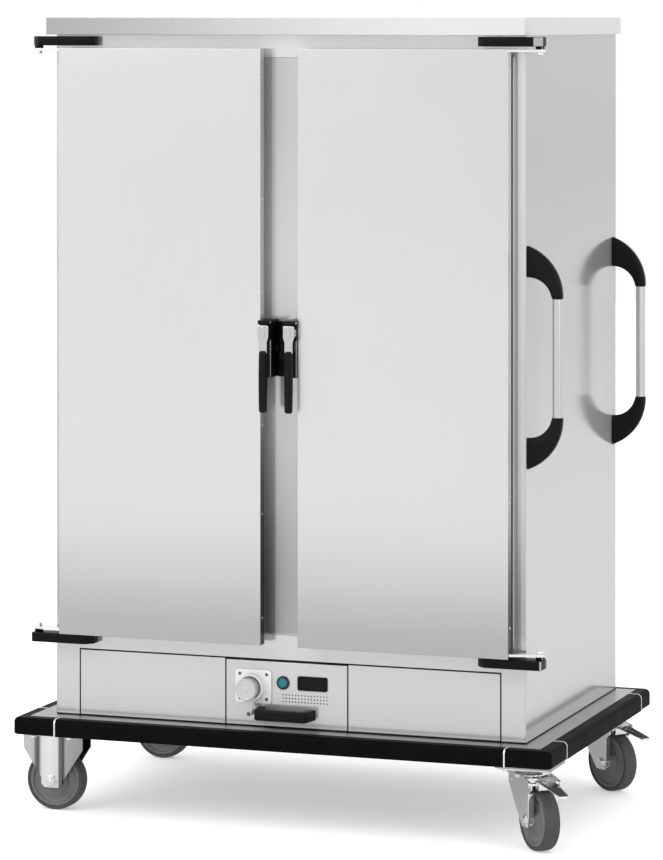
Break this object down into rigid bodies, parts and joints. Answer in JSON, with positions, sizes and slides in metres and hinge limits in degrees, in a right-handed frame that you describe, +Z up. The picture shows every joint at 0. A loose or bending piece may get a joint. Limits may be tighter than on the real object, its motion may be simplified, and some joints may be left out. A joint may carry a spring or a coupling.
{
  "type": "heated holding cabinet",
  "caption": "Tall insulated steel cabinet on castors with paired doors, tray racks and a pull-out heating drawer, keeping plated food hot.",
  "frame": {"origin": "floor level, under the middle of the cabinet body", "axes": "+X to the user's right as they face the doors, +Z up, the doors face -Y"},
  "size_m": [1.2088, 0.8175, 1.643],
  "materials": {
    "cabinet_steel": "satin",
    "door_steel": "satin",
    "base_steel": "satin",
    "liner_steel": "satin",
    "bumper_rubber": "satin",
    "clip_steel": "satin",
    "insulation_foam": "matte",
    "gasket_rubber": "matte",
    "hinge_plastic": "matte",
    "hinge_steel": "satin",
    "handle_plastic": "satin",
    "handle_steel": "polished",
    "latch_plastic": "matte",
    "latch_chrome": "polished",
    "inlet_plastic": "satin",
    "cap_plastic": "satin",
    "button_lens": "gloss",
    "display_black": "gloss",
    "control_plastic": "matte",
    "element_steel": "satin",
    "motor_metal": "satin",
    "fan_aluminium": "satin",
    "zinc_plate": "satin",
    "tyre_rubber": "matte",
    "hub_plastic": "satin"
  },
  "bodies": {
    "cabinet": {"base_frame": "base_steel", "bumper_rails": "bumper_rubber", "bumper_corners": "bumper_rubber", "side_panels": "cabinet_steel", "back_panel": "cabinet_steel", "top_lid": "cabinet_steel", "front_frame": "cabinet_steel", "inner_liners": "liner_steel", "insulation": "insulation_foam", "tray_racks": "liner_steel", "lower_panels": "cabinet_steel", "hinge_bars": "hinge_plastic", "handle_brackets": "handle_plastic", "handle_tubes": "handle_steel", "latch_keeper": "latch_plastic", "drawer_rails": "liner_steel", "fixings": "clip_steel", "castor_mounts": "zinc_plate"},
    "door_left": {"door_skin_left": "door_steel", "door_inner_left": "liner_steel", "door_core_left": "insulation_foam", "door_gasket_left": "gasket_rubber", "hinge_arms_left": "hinge_steel", "latch_housing_left": "latch_plastic"},
    "latch_left": {"latch_lever_left": "latch_chrome", "latch_grip_left": "latch_plastic"},
    "bolt_left": {"latch_bolt_left": "hinge_steel"},
    "door_right": {"door_skin_right": "door_steel", "door_inner_right": "liner_steel", "door_core_right": "insulation_foam", "door_gasket_right": "gasket_rubber", "hinge_arms_right": "hinge_steel", "latch_housing_right": "latch_plastic"},
    "latch_right": {"latch_lever_right": "latch_chrome", "latch_grip_right": "latch_plastic"},
    "bolt_right": {"latch_bolt_right": "hinge_steel"},
    "drawer": {"drawer_fascia": "cabinet_steel", "drawer_chassis": "liner_steel", "bow_handle": "handle_plastic", "inlet_housing": "inlet_plastic", "button_bezel": "control_plastic", "display_window": "display_black", "control_box": "control_plastic", "heating_element": "element_steel", "fan_motor": "motor_metal"},
    "inlet_cover": {"inlet_cap": "cap_plastic"},
    "button": {"power_button": "button_lens"},
    "fan": {"fan_impeller": "fan_aluminium"},
    "wheel_front_left": {"tyre_front_left": "tyre_rubber", "hub_front_left": "hub_plastic"},
    "wheel_rear_left": {"tyre_rear_left": "tyre_rubber", "hub_rear_left": "hub_plastic"},
    "swivel_front_right": {"swivel_fork_front_right": "zinc_plate"},
    "wheel_front_right": {"tyre_front_right": "tyre_rubber", "hub_front_right": "hub_plastic"},
    "pedal_front_right": {"brake_pedal_front_right": "zinc_plate"},
    "swivel_rear_right": {"swivel_fork_rear_right": "zinc_plate"},
    "wheel_rear_right": {"tyre_rear_right": "tyre_rubber", "hub_rear_right": "hub_plastic"},
    "pedal_rear_right": {"brake_pedal_rear_right": "zinc_plate"}
  },
  "joints": [
    {"name": "door_left_swing", "type": "hinge", "parent": "cabinet", "child": "door_left", "pos_m": [-0.5395, -0.35, 0.977], "axis": [0, 0, -1], "range_deg": [0, 258]},
    {"name": "latch_left_pull", "type": "hinge", "parent": "door_left", "child": "latch_left", "pos_m": [-0.0275, -0.392, 1.009], "axis": [-1, 0, 0], "range_deg": [0, 30], "stiffness_Nm_per_rad": 1.2, "springref_deg": -22.92},
    {"name": "bolt_left_slide", "type": "slide", "parent": "door_left", "child": "bolt_left", "axis": [-1, 0, 0], "range_m": [0, 0.008]},
    {"name": "door_right_swing", "type": "hinge", "parent": "cabinet", "child": "door_right", "pos_m": [0.5395, -0.35, 0.977], "axis": [0, 0, 1], "range_deg": [0, 258]},
    {"name": "latch_right_pull", "type": "hinge", "parent": "door_right", "child": "latch_right", "pos_m": [0.0275, -0.392, 1.009], "axis": [-1, 0, 0], "range_deg": [0, 30], "stiffness_Nm_per_rad": 1.2, "springref_deg": -22.92},
    {"name": "bolt_right_slide", "type": "slide", "parent": "door_right", "child": "bolt_right", "axis": [1, 0, 0], "range_m": [0, 0.008]},
    {"name": "drawer_slide", "type": "slide", "parent": "cabinet", "child": "drawer", "axis": [0, -1, 0], "range_m": [0, 0.42]},
    {"name": "inlet_cover_swing", "type": "hinge", "parent": "drawer", "child": "inlet_cover", "pos_m": [-0.071, -0.362, 0.233], "axis": [0, -1, 0], "range_deg": [0, 90]},
    {"name": "button_press", "type": "slide", "parent": "drawer", "child": "button", "axis": [0, 1, 0], "range_m": [0, 0.003], "stiffness_N_per_m": 400, "springref_m": -0.002},
    {"name": "fan_spin", "type": "hinge", "parent": "drawer", "child": "fan", "pos_m": [0, -0.19, 0.26], "axis": [0, 0, 1], "continuous": true},
    {"name": "wheel_front_left_roll", "type": "hinge", "parent": "cabinet", "child": "wheel_front_left", "pos_m": [-0.518, -0.305, 0.0625], "axis": [0, 1, 0], "continuous": true},
    {"name": "wheel_rear_left_roll", "type": "hinge", "parent": "cabinet", "child": "wheel_rear_left", "pos_m": [-0.518, 0.286, 0.0625], "axis": [0, 1, 0], "continuous": true},
    {"name": "swivel_front_right_turn", "type": "hinge", "parent": "cabinet", "child": "swivel_front_right", "pos_m": [0.512, -0.327, 0.14], "axis": [0, 0, 1], "continuous": true},
    {"name": "wheel_front_right_roll", "type": "hinge", "parent": "swivel_front_right", "child": "wheel_front_right", "pos_m": [0.54038, -0.35797, 0.0625], "axis": [0.7373, 0.6756, 0], "continuous": true},
    {"name": "pedal_front_right_press", "type": "hinge", "parent": "swivel_front_right", "child": "pedal_front_right", "pos_m": [0.55389, -0.37271, 0.134], "axis": [0.7373, 0.6756, 0], "range_deg": [0, 8]},
    {"name": "swivel_rear_right_turn", "type": "hinge", "parent": "cabinet", "child": "swivel_rear_right", "pos_m": [0.484, 0.286, 0.14], "axis": [0, 0, 1], "continuous": true},
    {"name": "wheel_rear_right_roll", "type": "hinge", "parent": "swivel_rear_right", "child": "wheel_rear_right", "pos_m": [0.51882, 0.26251, 0.0625], "axis": [0.5592, 0.829, 0], "continuous": true},
    {"name": "pedal_rear_right_press", "type": "hinge", "parent": "swivel_rear_right", "child": "pedal_rear_right", "pos_m": [0.5354, 0.25133, 0.134], "axis": [0.5592, 0.829, 0], "range_deg": [0, 8]}
  ],
  "couplings": [
    {"joint": "bolt_left_slide", "follows": "latch_left_pull", "m_per_rad": 0.0152},
    {"joint": "bolt_right_slide", "follows": "latch_right_pull", "m_per_rad": 0.0152}
  ]
}
